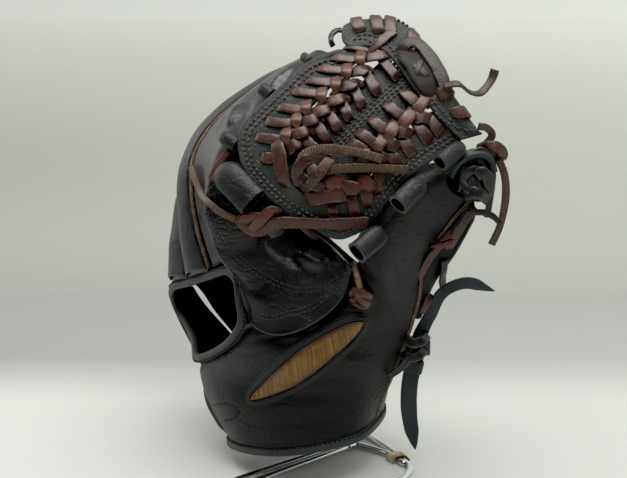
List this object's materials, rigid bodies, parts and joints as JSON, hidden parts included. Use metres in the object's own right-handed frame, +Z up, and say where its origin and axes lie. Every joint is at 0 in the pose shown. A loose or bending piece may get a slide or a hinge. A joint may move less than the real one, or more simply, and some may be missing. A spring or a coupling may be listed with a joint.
{
  "type": "baseball pitchers glove on a wire stand",
  "caption": "Black leather baseball glove for the left hand with a two-piece laced web, brown laces, open wrist window and long lace ends, on a bent wire stand.",
  "frame": {"origin": "on the floor, below the middle of the bounding box", "axes": "+Z up, +X to the palm, -X to the back of the hand, -Y to the thumb side"},
  "size_m": [0.225, 0.2126, 0.3007],
  "materials": {
    "black_leather": "satin grained cowhide, black",
    "welt_tan": "raw cut edge of the welt, tan brown",
    "brown_lace": "rawhide lace, reddish brown, smooth face and suede back",
    "black_lace": "rawhide lace and strap, blue-black",
    "gold_thread": "satin-stitch embroidery, gold",
    "tape": "worn cloth tape, beige",
    "chrome": "bright plated steel wire, a little worn"
  },
  "bodies": {
    "root": {"thumb_back": "black_leather", "index_back": "black_leather", "middle_back": "black_leather", "ring_back": "black_leather", "little_back": "black_leather", "wrist_strap": "black_leather", "palm": "black_leather", "wrist_binding": "black_leather", "window_binding": "black_leather", "web_frame": "black_leather", "web_tongue": "black_leather", "web_top_strip": "black_leather", "thumb_welt": "welt_tan", "index_middle_welt": "welt_tan", "middle_ring_welt": "welt_tan", "ring_little_welt": "welt_tan", "lattice_upper": "brown_lace", "lattice_lower": "brown_lace", "web_edge_lace": "brown_lace", "web_knot": "brown_lace", "web_rim_lace": "brown_lace", "index_knotted_lace": "brown_lace", "thumb_pin_lace": "brown_lace", "thumb_long_lace": "brown_lace", "thumb_side_lace": "brown_lace", "web_tab_index_1": "black_lace", "web_tab_index_2": "black_lace", "web_tab_index_3": "black_lace", "web_tab_index_4": "black_lace", "web_tab_thumb_1": "black_lace", "web_tab_thumb_2": "black_lace", "web_tab_thumb_3": "black_lace", "thumb_black_lace": "black_lace", "thumb_tip_knot": "black_lace", "thumb_side_strap": "black_lace", "heel_lace": "black_lace", "adjusting_strap": "black_lace", "strap_keeper": "black_lace", "wrist_strap_lace": "black_lace", "thumb_emblem": "gold_thread", "stand_tape": "tape", "wire_stand": "chrome"}
  },
  "joints": []
}
